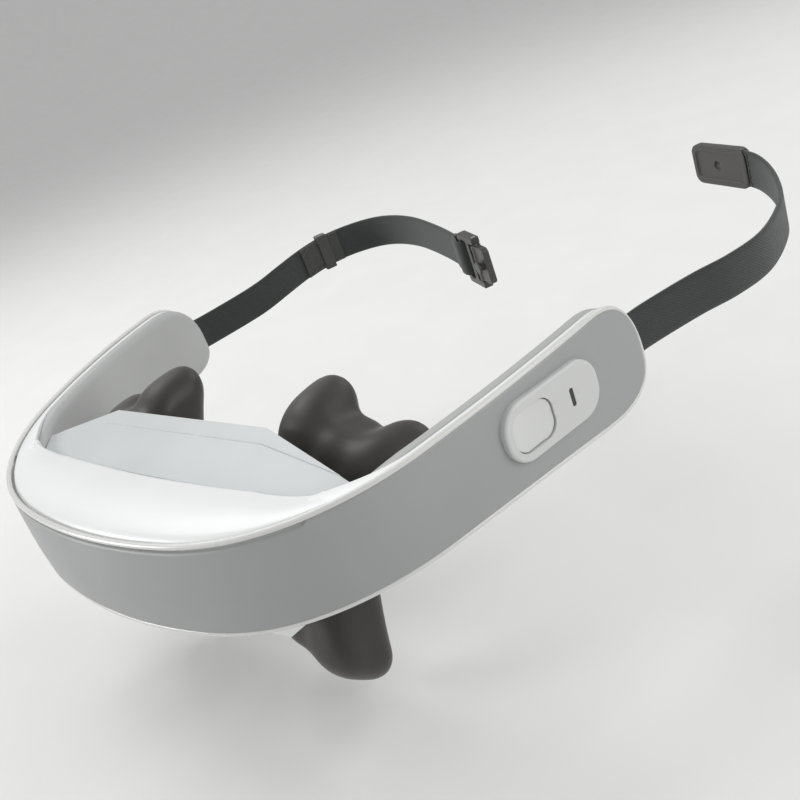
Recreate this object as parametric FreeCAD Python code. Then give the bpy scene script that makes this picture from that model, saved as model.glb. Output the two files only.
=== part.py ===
import FreeCAD, Part
import math
import os
from FreeCAD import Placement, Rotation, Vector

# Eye massager mask. Millimetres, +Z up, the wearer looks along -Y out of the front of the band.
# The origin is the middle of the mask in plan, level with the middle of the band's front.

# Band: tangent arcs in plan from the front centre to an arm's tip, as (radius, turn in degrees).
BAND_ARCS = ((195.0, 10.0), (85.0, 10.5), (63.0, 50.0), (240.0, 17.55))
FRONT_HEIGHT = 26.8
ARM_RISE = (22.8, -15.8)
HEIGHT_CHANGE = (-0.296, 0.496)
TIP_TOP_ROUND = 16.9
TIP_BOTTOM_ROUND = 20.5
TIP_LEVEL = -0.19
TIP_POWER = 2.3
TALL = 200.0

# Layers of the band, as distances in from its outer face.
SHELL_SKIN = 1.3
SHELL_DEEP = 3.4
FRAME_DEEP = 4.2
LINER_SKIN = 1.2
BAND_DEEP = 8.8
TRIM_FROM = 0.35
TRIM_TO = 1.9
TRIM_PROUD = 0.55
TRIM_SEAT = 0.9

# Housing behind the front of the band, which holds the drives of the two massage heads.
HOUSING_GAP = 0.2
HOUSING_WALL = 1.8
FACING_HALF = 35.0
FACING_REAR = -15.0
FACING_TOP = 22.0
REAR_SWEEP = 0.212
DOME_REAR = -33.0
DOME_TOP = 15.2
HOUSING_BOTTOM = -28.0
COVER_SPLIT = 6.0
BRIM_FROM = 2.1
BRIM_LEVEL = 10.5
SHOULDER = ((35.0, -15.0, 22.0), (68.0, -22.0, 15.0), (61.0, -33.0, 12.5))

# Massage heads, in a drive frame whose +Z points forward into the housing and whose +Y is up.
HEAD_TILT = 21.0
HEAD_BASE = (0.0, -10.0, -16.0)
HEAD_X = 37.0
LOBE_REACH = 34.5
LOBE_HALF_ANGLE = 24.5
LOBE_RADIUS = 9.6
ROOT_REACH = 25.0
WEB_REACH = 26.0
PAD_FRONT = 12.5
HEAD_PHASE = -21.0
PLATE_FACE = 18.3
LIP_DEPTH = 3.6
SHAFT_RADIUS = 2.5
BUSH_RADIUS = 4.5
RUNNING = 0.05

# Gear train: one motor turns the drive gear, and an idler passes the swing to the left head.
HEAD_TEETH = 28
DRIVE_TEETH = 23
DRIVE_X = 11.5
GEAR_Z = 21.3
GEAR_THICK = 3.0
PLATE_Z = 24.9
PLATE_THICK = 1.2
MOTOR_RADIUS = 8.6
MOTOR_LENGTH = 10.0
PIN_RADIUS = 1.5
POSTS = ((23.5, 11.0), (23.5, -11.0), (55.0, 0.0))
BOARD_X = -16.0
BOARD_Z = 28.4
PORT_X = -16.0

# Control panel on the outer face of the right arm.
PANEL_ALONG = 140.0
PANEL_LENGTH = 32.0
PANEL_HEIGHT = 16.0
PANEL_RAISE = 1.3
BUTTON_X = -7.0
BUTTON_LENGTH = 13.0
BUTTON_HEIGHT = 10.5
BUTTON_TRAVEL = 0.6
BUTTON_GAP = 0.25
LIGHT_X = 6.5
LIGHT_SIZE = (1.3, 5.0)

# Straps.
STRAP_WIDTH = 12.4
STRAP_THICK = 1.4
STRAP_OFFSET = 4.6
STRAP_STATIONS = 22
TAB_LENGTH = 27.0
TAB_HOLE_X = 12.0
TAB_HOLE_RADIUS = 1.5
KEEPER_SHARE = 0.42


def save(name, shape):
    """Writes one piece to its STEP file."""
    shape.exportStep(os.path.join("parts", name + ".step"))


def box(x0, x1, y0, y1, z0, z1):
    """A box between two corners."""
    return Part.makeBox(x1 - x0, y1 - y0, z1 - z0, Vector(x0, y0, z0))


def rod(x, y, z0, z1, radius):
    """A cylinder along +Z."""
    return Part.makeCylinder(radius, z1 - z0, Vector(x, y, z0))


def tube(x, y, z0, z1, outer, inner):
    """A ring along +Z."""
    return rod(x, y, z0, z1, outer).cut(rod(x, y, z0 - 1.0, z1 + 1.0, inner))


def mirrored(shape):
    """The same piece on the other side of the mask."""
    return shape.mirror(Vector(0, 0, 0), Vector(1, 0, 0))


def join(shapes):
    """Fuses a list of solids."""
    whole = shapes[0]
    for shape in shapes[1:]:
        whole = whole.fuse(shape)
    return whole.removeSplitter()


def rounded_plate(length, height, radius, z0, z1, x=0.0, y=0.0):
    """An upright-edged plate with rounded corners, centred on (x, y)."""
    half_x = length / 2
    half_y = height / 2
    plate = box(x - half_x, x + half_x, y - half_y, y + half_y, z0, z1)
    edges = [e for e in plate.Edges if abs(e.tangentAt(e.FirstParameter).z) > 0.9]
    return plate.makeFillet(radius, edges)


# ---------------------------------------------------------------- band geometry

def lay_arcs(front_y):
    """Each plan arc as (centre x, centre y, radius, start heading, end heading)."""
    arcs = []
    x, y, heading = 0.0, front_y, 0.0
    for radius, turn in BAND_ARCS:
        cx = x - radius * math.sin(heading)
        cy = y + radius * math.cos(heading)
        end = heading + math.radians(turn)
        arcs.append((cx, cy, radius, heading, end))
        x = cx + radius * math.sin(end)
        y = cy - radius * math.cos(end)
        heading = end
    return arcs, y


DEPTH = lay_arcs(0.0)[1]
FRONT_Y = -DEPTH / 2
TIP_Y = DEPTH / 2
ARCS = lay_arcs(FRONT_Y)[0]
OVERRUN = 0.03


def arc_point(arc, heading, offset):
    """A point of an arc at a heading, moved in from the outer face."""
    cx, cy, radius = arc[:3]
    reach = radius - offset
    return Vector(cx + reach * math.sin(heading), cy - reach * math.cos(heading), 0)


def along_band(distance, offset=0.0):
    """The point and heading at a distance round the right half of the band."""
    for arc in ARCS:
        length = arc[2] * (arc[4] - arc[3])
        if distance <= length or arc is ARCS[-1]:
            heading = arc[3] + distance / arc[2]
            return arc_point(arc, heading, offset), heading
        distance -= length


def plan_edges(offset):
    """The band's plan line at an offset, from the left tip round the front to the right tip."""
    right = []
    for arc in ARCS[1:]:
        end = arc[4] + (OVERRUN if arc is ARCS[-1] else 0.0)
        stops = (arc[3], (arc[3] + end) / 2, end)
        right.append([arc_point(arc, h, offset) for h in stops])
    front = ARCS[0]
    middle = [arc_point(front, h, offset) for h in (-front[4], 0.0, front[4])]
    left = [[Vector(-p.x, p.y, 0) for p in reversed(points)] for points in reversed(right)]
    return [Part.Arc(*points).toShape() for points in left + [middle] + right]


def line(a, b):
    """A straight edge."""
    return Part.LineSegment(a, b).toShape()


def plan_ring(offset_out, offset_in):
    """A tall wall between two offsets from the band's outer face."""
    outer = plan_edges(offset_out)
    inner = plan_edges(offset_in)
    tips = [line(outer[0].Vertexes[0].Point, inner[0].Vertexes[0].Point),
            line(outer[-1].Vertexes[-1].Point, inner[-1].Vertexes[-1].Point)]
    wire = Part.Wire(Part.__sortEdges__(outer + inner + tips))
    face = Part.Face(wire)
    face.translate(Vector(0, 0, -TALL / 2))
    return face.extrude(Vector(0, 0, TALL))


def plan_inside(offset):
    """The whole space inside the band's wall, as a tall block."""
    edges = plan_edges(offset)
    ends = line(edges[0].Vertexes[0].Point, edges[-1].Vertexes[-1].Point)
    face = Part.Face(Part.Wire(Part.__sortEdges__(edges + [ends])))
    face.translate(Vector(0, 0, -TALL / 2))
    return face.extrude(Vector(0, 0, TALL))


def middle_level(y):
    """Height of the band's middle line at a depth."""
    t = (y - FRONT_Y) / DEPTH
    return ARM_RISE[0] * t + ARM_RISE[1] * t * t


def half_height(y):
    """Half the band's height at a depth."""
    t = (y - FRONT_Y) / DEPTH
    return FRONT_HEIGHT / 2 * (1 + HEIGHT_CHANGE[0] * t + HEIGHT_CHANGE[1] * t * t)


def tip_curve(round_depth, side, inset, steps):
    """Points of the rounded arm tip, from its tip level to its top (side 1) or bottom (side -1)."""
    points = []
    for i in range(steps):
        u = i / (steps - 1)
        back = round_depth * (1 - (1 - u ** TIP_POWER) ** (1 / TIP_POWER))
        y = TIP_Y - back
        level = TIP_LEVEL + (side - TIP_LEVEL) * u
        z = middle_level(y) + level * half_height(y) - side * u * inset
        points.append(Vector(0, y - inset * (1 - u), z))
    return points


def side_block(inset):
    """The band's side view, drawn in by an inset and extruded right across the mask."""
    start = FRONT_Y - 5.0
    top_end = TIP_Y - TIP_TOP_ROUND
    bottom_end = TIP_Y - TIP_BOTTOM_ROUND
    steps = 6
    top = []
    bottom = []
    for i in range(steps):
        y = start + (top_end - start) * i / steps
        top.append(Vector(0, y, middle_level(y) + half_height(y) - inset))
        y = start + (bottom_end - start) * i / steps
        bottom.append(Vector(0, y, middle_level(y) - half_height(y) + inset))
    tip_top = tip_curve(TIP_TOP_ROUND, 1, inset, 7)
    tip_bottom = tip_curve(TIP_BOTTOM_ROUND, -1, inset, 7)
    points = top + list(reversed(tip_top)) + tip_bottom[1:] + list(reversed(bottom))
    curve = Part.BSplineCurve()
    curve.interpolate(points)
    wire = Part.Wire([curve.toShape(), line(points[-1], points[0])])
    face = Part.Face(wire)
    face.translate(Vector(-TALL / 2, 0, 0))
    return face.extrude(Vector(TALL, 0, 0))


def band_layer(offset_out, offset_in, inset):
    """One layer of the band: its plan wall cut to its side view."""
    return plan_ring(offset_out, offset_in).common(side_block(inset))


# ---------------------------------------------------------------- frames of the drives and the panel

HEAD_FRAME = Placement(Vector(*HEAD_BASE), Rotation(Vector(1, 0, 0), 90 - HEAD_TILT))


def placed(shape, frame):
    """The shape moved from a local frame into the mask's frame."""
    moved = shape.copy()
    moved.Placement = frame.multiply(moved.Placement)
    return moved


def panel_frame():
    """Frame on the right arm's outer face: +X back along the arm, +Y up, +Z outwards."""
    point, heading = along_band(PANEL_ALONG)
    point.z = middle_level(point.y) + 1.3
    along = Vector(math.cos(heading), math.sin(heading), 0)
    outward = Vector(math.sin(heading), -math.cos(heading), 0)
    return Placement(point, Rotation(along, Vector(0, 0, 1), outward, "XYZ"))


PANEL = panel_frame()


# ---------------------------------------------------------------- band pieces

def strap_slot():
    """The slot through the right arm's tip that its strap passes through."""
    tip = arc_point(ARCS[-1], ARCS[-1][4], STRAP_OFFSET)
    level = middle_level(TIP_Y)
    half = STRAP_WIDTH / 2 + 0.9
    return box(tip.x - 1.7, tip.x + 1.7, tip.y - 16, tip.y + 6, level - half, level + half)


def edge_trim():
    """The bright piping round the whole rim of the band."""
    return band_layer(TRIM_FROM, TRIM_TO, -TRIM_PROUD).cut(side_block(TRIM_SEAT))


def outer_shell(trim):
    """The soft-touch outer skin, open behind, with a pocket for the control panel."""
    shell = band_layer(0.0, SHELL_DEEP, 0.0)
    shell = shell.cut(band_layer(SHELL_SKIN, SHELL_DEEP + 1, SHELL_SKIN + 0.9))
    pocket = rounded_plate(PANEL_LENGTH, PANEL_HEIGHT, 7.0, -2.2, 4.0)
    shell = shell.cut(placed(pocket, PANEL)).cut(brim_block())
    return shell.cut(trim)


def mid_frame():
    """The springy structural strip between the shell and the liner."""
    strip = band_layer(SHELL_DEEP, FRAME_DEEP, 1.2)
    window = rounded_plate(PANEL_LENGTH - 2, PANEL_HEIGHT - 2, 6.0, -8.0, -2.0)
    strip = strip.cut(placed(window, PANEL))
    slot = strap_slot()
    return strip.cut(slot).cut(mirrored(slot)).cut(brim_block())


def inner_liner():
    """The smooth liner towards the wearer's temples, hollow along the arms."""
    liner = band_layer(FRAME_DEEP, BAND_DEEP, 0.3)
    liner = liner.cut(band_layer(FRAME_DEEP - 1, BAND_DEEP - LINER_SKIN, 1.6))
    slot = strap_slot()
    return liner.cut(slot).cut(mirrored(slot)).cut(brim_block())


# ---------------------------------------------------------------- housing pieces

def prism(points, direction):
    """A polygon extruded along an axis direction."""
    wire = Part.makePolygon(points + [points[0]])
    return Part.Face(wire).extrude(direction)


def housing_side(inset):
    """Side view of the housing: dome, sloping facing, tilted rear face and underside."""
    slope = math.tan(math.radians(HEAD_TILT))
    rear_low = FACING_REAR - (FACING_TOP - HOUSING_BOTTOM) * slope
    outline = [(FRONT_Y, 12.8), (DOME_REAR, DOME_TOP), (FACING_REAR, FACING_TOP),
               (rear_low, HOUSING_BOTTOM), (FRONT_Y + 8, -13.0), (FRONT_Y, -12.4)]
    face = Part.Face(Part.makePolygon([Vector(0, y, z) for y, z in outline + outline[:1]]))
    if inset:
        face = Part.Face(face.OuterWire.makeOffset2D(-inset, 2))
    face.translate(Vector(-TALL / 2, 0, 0))
    return face.extrude(Vector(TALL, 0, 0))


def housing_front(inset):
    """Front view of the housing: straight sides above, drawn in below."""
    half = [(80, 30), (80, -6), (60, -12.5), (38, HOUSING_BOTTOM)]
    right = [Vector(x, 0, z) for x, z in half]
    left = [Vector(-p.x, 0, p.z) for p in reversed(right)]
    face = Part.Face(Part.makePolygon(right + left + right[:1]))
    if inset:
        face = Part.Face(face.OuterWire.makeOffset2D(-inset, 2))
    face.translate(Vector(0, -TALL / 2, 0))
    return face.extrude(Vector(0, TALL, 0))


def housing_plan(inset):
    """Plan of the housing: the band's inner wall in front, swept forward at the rear corners."""
    wide = 90.0
    corner = FACING_REAR - (wide - FACING_HALF) * REAR_SWEEP
    outline = [(-wide, FRONT_Y), (wide, FRONT_Y), (wide, corner - inset),
               (FACING_HALF, FACING_REAR - inset), (-FACING_HALF, FACING_REAR - inset),
               (-wide, corner - inset)]
    points = [Vector(x, y, -TALL / 2) for x, y in outline]
    block = prism(points, Vector(0, 0, TALL))
    return block.common(plan_inside(BAND_DEEP + HOUSING_GAP + inset))


def shoulder_cut(inset):
    """The space above the right shoulder's sloping face."""
    rear, outer, front = [Vector(*p) for p in SHOULDER]
    normal = (front - rear).cross(outer - rear).normalize()
    if normal.z < 0:
        normal = -normal
    side = (outer - rear).normalize() * 60
    depth = normal.cross(side).normalize() * 60
    start = rear - normal * inset
    corners = [start + side + depth, start + side - depth, start - side - depth, start - side + depth]
    return prism(corners, normal * 40)


def housing_block(inset):
    """The housing's outer form, drawn in by an inset."""
    block = housing_plan(inset).common(housing_side(inset)).common(housing_front(inset))
    cut = shoulder_cut(inset)
    return block.cut(cut).cut(mirrored(cut))


def brim_block():
    """The space over the front of the band, inside its rim, that the dome cover fills."""
    return plan_inside(BRIM_FROM).common(box(-90, 90, -70, DOME_REAR, BRIM_LEVEL, 60))


def dome_brim():
    """The dome cover's brim over the top of the band."""
    block = brim_block().cut(plan_inside(BAND_DEEP + HOUSING_GAP))
    cut = shoulder_cut(0)
    return block.common(housing_side(0)).cut(cut).cut(mirrored(cut))


def drive_slab(z0, z1):
    """A slab of the drive frame between two depths, across the whole housing."""
    return placed(box(-80, 80, -60, 60, z0, z1), HEAD_FRAME)


def housing_pieces():
    """Face plate, dome cover, facing cover and bottom cover, cut from one hollow form."""
    shell = housing_block(0.0).cut(housing_block(HOUSING_WALL))
    rear_slab = drive_slab(PLATE_FACE - 30, PLATE_FACE + LIP_DEPTH)
    rear = shell.common(rear_slab)
    shell = shell.cut(rear_slab)
    top = shell.cut(box(-90, 90, -70, 20, -60, COVER_SPLIT))
    bottom = shell.common(box(-90, 90, -70, 20, -60, COVER_SPLIT))
    dome = top.common(box(-90, 90, -70, DOME_REAR, 0, 60)).fuse(dome_brim()).removeSplitter()
    facing = top.cut(box(-90, 90, -70, DOME_REAR, 0, 60))
    return rear, dome, facing, bottom


def face_plate(rear):
    """The face plate with its shaft bosses, the idler's pin boss and the posts for the motor plate."""
    bosses = [rear]
    for side in (1, -1):
        bosses.append(placed(rod(side * HEAD_X, 0, PLATE_FACE, GEAR_Z - 0.4, 6.6), HEAD_FRAME))
        for x, y in POSTS:
            bosses.append(placed(rod(side * x, y, PLATE_FACE, PLATE_Z, 2.2), HEAD_FRAME))
    bosses.append(placed(rod(-DRIVE_X, 0, PLATE_FACE, GEAR_Z - 0.4, 3.0), HEAD_FRAME))
    plate = join(bosses)
    for side in (1, -1):
        plate = plate.cut(placed(rod(side * HEAD_X, 0, PLATE_FACE - 5, 30, BUSH_RADIUS), HEAD_FRAME))
        for x, y in POSTS:
            plate = plate.cut(placed(rod(side * x, y, PLATE_Z - 5.0, 30, 0.85), HEAD_FRAME))
    return plate.cut(placed(rod(-DRIVE_X, 0, PLATE_FACE + 0.7, 30, PIN_RADIUS), HEAD_FRAME))


def port_opening():
    """The charging socket's opening in the underside."""
    return box(PORT_X - 4.8, PORT_X + 4.8, -45.5, -41.7, -40, 0)


# ---------------------------------------------------------------- massage heads

def lobe_angles():
    """Directions of the four lobes at rest, in degrees."""
    pairs = (90 - LOBE_HALF_ANGLE, 90 + LOBE_HALF_ANGLE, 270 - LOBE_HALF_ANGLE, 270 + LOBE_HALF_ANGLE)
    return [angle + HEAD_PHASE for angle in pairs]


def lobe_arm(angle, reach, half_root, half_tip, z0, z1):
    """A tapered arm from the head's centre out along one direction."""
    points = [(0, -half_root), (reach, -half_tip), (reach, half_tip), (0, half_root)]
    arm = prism([Vector(x, y, z0) for x, y in points], Vector(0, 0, z1 - z0))
    arm.rotate(Vector(0, 0, 0), Vector(0, 0, 1), angle)
    arm.translate(Vector(HEAD_X, 0, 0))
    return arm


def tip_centre(angle, reach):
    """Centre of a lobe's round end at a reach from the head's axis."""
    a = math.radians(angle)
    return HEAD_X + reach * math.cos(a), reach * math.sin(a)


def claw_core():
    """The stiff spider inside a silicone claw, with its neck and clamp boss."""
    arms = [rod(HEAD_X, 0, -3.0, 17.4, 6.5)]
    for angle in lobe_angles():
        x, y = tip_centre(angle, LOBE_REACH)
        arms.append(lobe_arm(angle, LOBE_REACH, 4.5, 3.5, -2.0, 1.5))
        arms.append(rod(x, y, -3.5, 1.5, 4.5))
    core = join(arms)
    return core.cut(rod(HEAD_X, 0, 4.0, 20.0, SHAFT_RADIUS))


def claw_pad(core):
    """The soft silicone claw moulded over the spider: deep at its root, webbed and flared to its tips."""
    parts = [rod(HEAD_X, 0, -6.5, PAD_FRONT, 13.0)]
    for angle in lobe_angles():
        x, y = tip_centre(angle, LOBE_REACH)
        parts.append(lobe_arm(angle, LOBE_REACH, 10.5, 7.8, -6.0, 6.0))
        parts.append(rod(x, y, -9.0, 5.0, LOBE_RADIUS))
        x, y = tip_centre(angle, ROOT_REACH)
        parts.append(lobe_arm(angle, ROOT_REACH, 10.5, 9.0, 5.0, PAD_FRONT))
        parts.append(rod(x, y, 4.0, PAD_FRONT, 9.0))
    for middle in (90 + HEAD_PHASE, 270 + HEAD_PHASE):
        x, y = tip_centre(middle, WEB_REACH)
        parts.append(lobe_arm(middle, WEB_REACH, 11.0, 9.0, -6.0, PAD_FRONT - 0.5))
        parts.append(rod(x, y, -6.0, PAD_FRONT - 0.5, 9.0))
    return join(parts).cut(core).cut(rod(HEAD_X, 0, 4.0, 20.0, SHAFT_RADIUS + 0.2))


def head_shaft():
    """The steel shaft that carries a head, with a collar in front of its gear."""
    shaft = rod(HEAD_X, 0, 4.0, 29.0, SHAFT_RADIUS)
    return shaft.fuse(rod(HEAD_X, 0, GEAR_Z + GEAR_THICK, GEAR_Z + GEAR_THICK + 0.3, 3.4))


def shaft_bushes():
    """Two bronze bushes, one in the face plate and one in the motor plate."""
    inner = SHAFT_RADIUS + RUNNING
    rear = tube(HEAD_X, 0, PLATE_FACE - 0.3, GEAR_Z - 0.4, BUSH_RADIUS, inner)
    front = tube(HEAD_X, 0, PLATE_Z, PLATE_Z + 3.1, BUSH_RADIUS, inner)
    return Part.makeCompound([rear, front])


# ---------------------------------------------------------------- gears

def involute(angle):
    """The involute function."""
    return math.tan(angle) - angle


def gear(teeth, bore, tooth_angle):
    """A spur gear with one tooth centred on tooth_angle, in radians, and a little backlash."""
    pressure = math.radians(20)
    pitch = teeth / 2
    base = pitch * math.cos(pressure)
    outer = pitch + 0.9
    root = pitch - 1.2
    backlash = 0.05
    half_pitch = math.pi / (2 * teeth) - backlash / pitch
    steps = 4
    low = max(base, root)
    flank = []
    for i in range(steps):
        radius = low + (outer - low) * i / (steps - 1)
        turn = half_pitch + involute(pressure) - involute(math.acos(min(1.0, base / radius)))
        flank.append((radius, turn))
    if root < base:
        flank.insert(0, (root, flank[0][1]))
    points = []
    for n in range(teeth):
        centre = tooth_angle + 2 * math.pi * n / teeth
        for radius, turn in flank:
            points.append(Vector(radius * math.cos(centre - turn), radius * math.sin(centre - turn), GEAR_Z))
        for radius, turn in reversed(flank):
            points.append(Vector(radius * math.cos(centre + turn), radius * math.sin(centre + turn), GEAR_Z))
    wheel = prism(points, Vector(0, 0, GEAR_THICK))
    return wheel.cut(rod(0, 0, GEAR_Z - 1, GEAR_Z + GEAR_THICK + 1, bore))


def lightened(wheel, ring, radius):
    """A gear with six round holes through its web."""
    holes = []
    for n in range(6):
        a = n * math.pi / 3
        holes.append(rod(ring * math.cos(a), ring * math.sin(a), GEAR_Z - 1, GEAR_Z + 6, radius))
    return wheel.cut(join(holes))


def head_gear(side):
    """The gear on a head's shaft: the right one has a tooth and the left one a gap facing inwards."""
    tooth = math.pi if side > 0 else math.pi / HEAD_TEETH
    wheel = lightened(gear(HEAD_TEETH, SHAFT_RADIUS, tooth), 8.2, 2.3)
    return wheel.translated(Vector(side * HEAD_X, 0, 0))


def train_gear(side):
    """The drive gear on the right or the idler on the left, each with a tooth facing left."""
    bore = PIN_RADIUS if side > 0 else PIN_RADIUS + RUNNING
    wheel = lightened(gear(DRIVE_TEETH, bore, math.pi), 6.3, 1.7)
    return wheel.translated(Vector(side * DRIVE_X, 0, 0))


def motor_rotor():
    """The motor's output shaft, which turns in the can with the drive gear."""
    return rod(DRIVE_X, 0, GEAR_Z - 0.3, PLATE_Z + PLATE_THICK + 3.0, PIN_RADIUS)


def idler_pin():
    """The fixed pin the idler turns on."""
    return rod(-DRIVE_X, 0, PLATE_FACE + 0.7, PLATE_Z + PLATE_THICK, PIN_RADIUS)


def motor_can():
    """The flat geared motor: a gearbox can, a stepped end cap and two solder tags."""
    x = DRIVE_X
    start = PLATE_Z + PLATE_THICK
    end = start + MOTOR_LENGTH
    can = rod(x, 0, start, start + 4.2, MOTOR_RADIUS)
    can = can.fuse(rod(x, 0, start + 4.2, end - 0.8, MOTOR_RADIUS - 0.5))
    can = can.fuse(rod(x, 0, end - 0.8, end, MOTOR_RADIUS - 2.5))
    can = can.cut(rod(x, 0, start - 1, start + 3.2, PIN_RADIUS + RUNNING))
    tag = box(x - 4.5, x - 3.0, 6.9, 9.3, end - 2.4, end - 2.0)
    return can.fuse(tag).fuse(tag.translated(Vector(7.5, 0, 0)))


def motor_plate():
    """The plate that carries the motor, the front bushes, the idler's pin and the driver board."""
    top = PLATE_Z + PLATE_THICK
    plate = placed(rounded_plate(119, 30, 8, PLATE_Z, top), HEAD_FRAME)
    plate = plate.common(housing_block(HOUSING_WALL + 0.3))
    holes = [rod(DRIVE_X, 0, 20, 30, 2.2), rod(-DRIVE_X, 0, 20, 30, PIN_RADIUS)]
    for side in (1, -1):
        holes.append(rod(side * HEAD_X, 0, 20, 30, BUSH_RADIUS))
        holes += [rod(side * x, y, 20, 30, 0.85) for x, y in POSTS]
    plate = plate.cut(placed(join(holes), HEAD_FRAME))
    pegs = [rod(BOARD_X + x, y, top, BOARD_Z, 1.6) for x, y in ((-9.5, -5.0), (9.0, 8.0))]
    return join([plate] + [placed(peg, HEAD_FRAME) for peg in pegs])


def screw(x, y, z0, length, radius, head_radius):
    """A pan-head screw along +Z with its head towards +Z."""
    body = rod(x, y, z0, z0 + length, radius)
    head = rod(x, y, z0 + length, z0 + length + 1.1, head_radius)
    cross = box(x - 1.0, x + 1.0, y - 0.2, y + 0.2, z0 + length + 0.5, z0 + length + 2)
    other = box(x - 0.2, x + 0.2, y - 1.0, y + 1.0, z0 + length + 0.5, z0 + length + 2)
    return body.fuse(head).cut(cross).cut(other)


def drive_screws():
    """The six screws that hold the motor plate on the face plate's posts."""
    top = PLATE_Z + PLATE_THICK
    screws = []
    for side in (1, -1):
        for x, y in POSTS:
            screws.append(placed(screw(side * x, y, top - 5.0, 5.0, 0.85, 1.5), HEAD_FRAME))
    return Part.makeCompound(screws)


# ---------------------------------------------------------------- electronics

def curved_cell():
    """The curved rechargeable cell in the left arm's liner."""
    cell = plan_ring(4.7, 7.2).common(side_block(6.0))
    return cell.common(box(-120, -60, -2, 40, -20, 40))


def control_board():
    """The small board behind the control panel."""
    return rounded_plate(27, 12.5, 1.5, -6.0, -5.2)


def main_board():
    """The driver board beside the motor."""
    top = BOARD_Z + 1.0
    board = rounded_plate(23, 18, 1.5, BOARD_Z, top, BOARD_X, 1.5)
    chips = [box(BOARD_X - 5, BOARD_X + 1, -1, 5, top, top + 1.0),
             box(BOARD_X + 4.0, BOARD_X + 8.0, -5.5, -2.5, top, top + 2.0),
             box(BOARD_X - 9.0, BOARD_X - 6.0, 4.5, 8.5, top, top + 2.6)]
    return join([board] + chips)


def charge_port():
    """The charging socket, a flat steel shell with a tongue, facing down."""
    shell = box(PORT_X - 4.5, PORT_X + 4.5, -45.2, -42.0, -24.0, -13.5)
    shell = shell.cut(box(PORT_X - 4.15, PORT_X + 4.15, -44.85, -42.35, -25.0, -14.2))
    shell = shell.fuse(box(PORT_X - 3.3, PORT_X + 3.3, -43.9, -43.3, -18.0, -13.5))
    return shell.common(housing_block(0.3))


def port_board():
    """The little board that carries the charging socket."""
    return box(PORT_X - 7.5, PORT_X + 7.5, -46.2, -40.8, -13.5, -12.5)


# ---------------------------------------------------------------- control panel

def control_panel():
    """The raised panel plate with its button well and light slot."""
    plate = rounded_plate(PANEL_LENGTH, PANEL_HEIGHT, 7.0, -2.2, PANEL_RAISE)
    rim = [e for e in plate.Edges if abs(e.CenterOfMass.z - PANEL_RAISE) < 0.01]
    plate = plate.makeFillet(0.8, rim)
    well = rounded_plate(BUTTON_LENGTH + 2 * BUTTON_GAP, BUTTON_HEIGHT + 2 * BUTTON_GAP, 4.0, -4.0, 4.0,
                         BUTTON_X, 0)
    plate = plate.cut(well)
    slot = rounded_plate(LIGHT_SIZE[0], LIGHT_SIZE[1], 0.6, -4.0, 4.0, LIGHT_X, 0)
    return plate.cut(slot)


def power_button():
    """The dished button with its stem down to the switch."""
    cap = rounded_plate(BUTTON_LENGTH, BUTTON_HEIGHT, 3.8, -1.6, 0.7, BUTTON_X, 0)
    dish_radius = 40.0
    dish = Part.makeSphere(dish_radius, Vector(BUTTON_X, 0, dish_radius + 0.2))
    neck = rounded_plate(BUTTON_LENGTH - 2, BUTTON_HEIGHT - 2, 3.0, -2.6, -1.6, BUTTON_X, 0)
    flange = rounded_plate(BUTTON_LENGTH + 2, BUTTON_HEIGHT + 2, 4.6, -3.0, -2.6, BUTTON_X, 0)
    stem = rod(BUTTON_X, 0, -3.7, -3.0, 1.3)
    return join([cap.cut(dish), neck, flange, stem])


def tact_switch():
    """The switch on the control board under the button."""
    body = box(BUTTON_X - 1.7, BUTTON_X + 1.7, -1.7, 1.7, -5.2, -4.7)
    return body.fuse(rod(BUTTON_X, 0, -4.7, -4.4, 0.9))


def light_pipe():
    """The clear bar that fills the slot and carries the indicator's light."""
    bar = rounded_plate(LIGHT_SIZE[0] - 0.06, LIGHT_SIZE[1] - 0.06, 0.55, -4.6, PANEL_RAISE - 0.15, LIGHT_X, 0)
    return bar


# ---------------------------------------------------------------- straps

def strap_path(points):
    """A smooth path through the strap's middle line."""
    curve = Part.BSplineCurve()
    curve.interpolate([Vector(*p) for p in points])
    return curve


RIGHT_ROUTE = ((94.6, 48.6, 7.1), (95.0, 56.5, 7.3), (96.8, 63.0, 8.2), (105.2, 79.0, 9.7),
               (111.5, 91.0, 10.0), (114.5, 106.0, 10.0), (111.5, 126.0, 10.6), (105.5, 139.5, 12.0),
               (98.8, 149.5, 13.4), (92.3, 155.8, 14.7), (86.5, 159.5, 15.0))
LEFT_ROUTE = ((-94.6, 48.6, 7.1), (-95.0, 56.5, 6.8), (-94.0, 63.0, 6.6), (-83.5, 82.0, 9.2),
              (-78.5, 95.0, 12.0), (-76.0, 106.0, 13.6), (-71.0, 117.0, 14.8), (-62.0, 127.0, 15.0),
              (-50.0, 131.0, 15.0), (-32.0, 127.0, 15.0), (-8.0, 114.5, 15.0), (12.5, 101.5, 15.0))


def tip_anchor(side):
    """Middle of the strap's inner end, inside an arm's tip."""
    return Vector(*(RIGHT_ROUTE[0] if side > 0 else LEFT_ROUTE[0]))


def section(point, tangent, width, thick):
    """An upright rectangle across the strap."""
    flat = Vector(tangent.x, tangent.y, 0).normalize()
    across = Vector(-flat.y, flat.x, 0) * (thick / 2)
    up = Vector(0, 0, width / 2)
    corners = [point + across + up, point - across + up, point - across - up, point + across - up]
    return Part.makePolygon(corners + corners[:1])


def ribbon(curve, start, end, width, thick, stations):
    """A webbing solid along a stretch of a curve, from start to end as fractions."""
    first, last = curve.FirstParameter, curve.LastParameter
    sections = []
    for i in range(stations):
        share = start + (end - start) * i / (stations - 1)
        u = first + (last - first) * share
        sections.append(section(curve.value(u), curve.tangent(u)[0], width, thick))
    return Part.makeLoft(sections, True, True)


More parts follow.
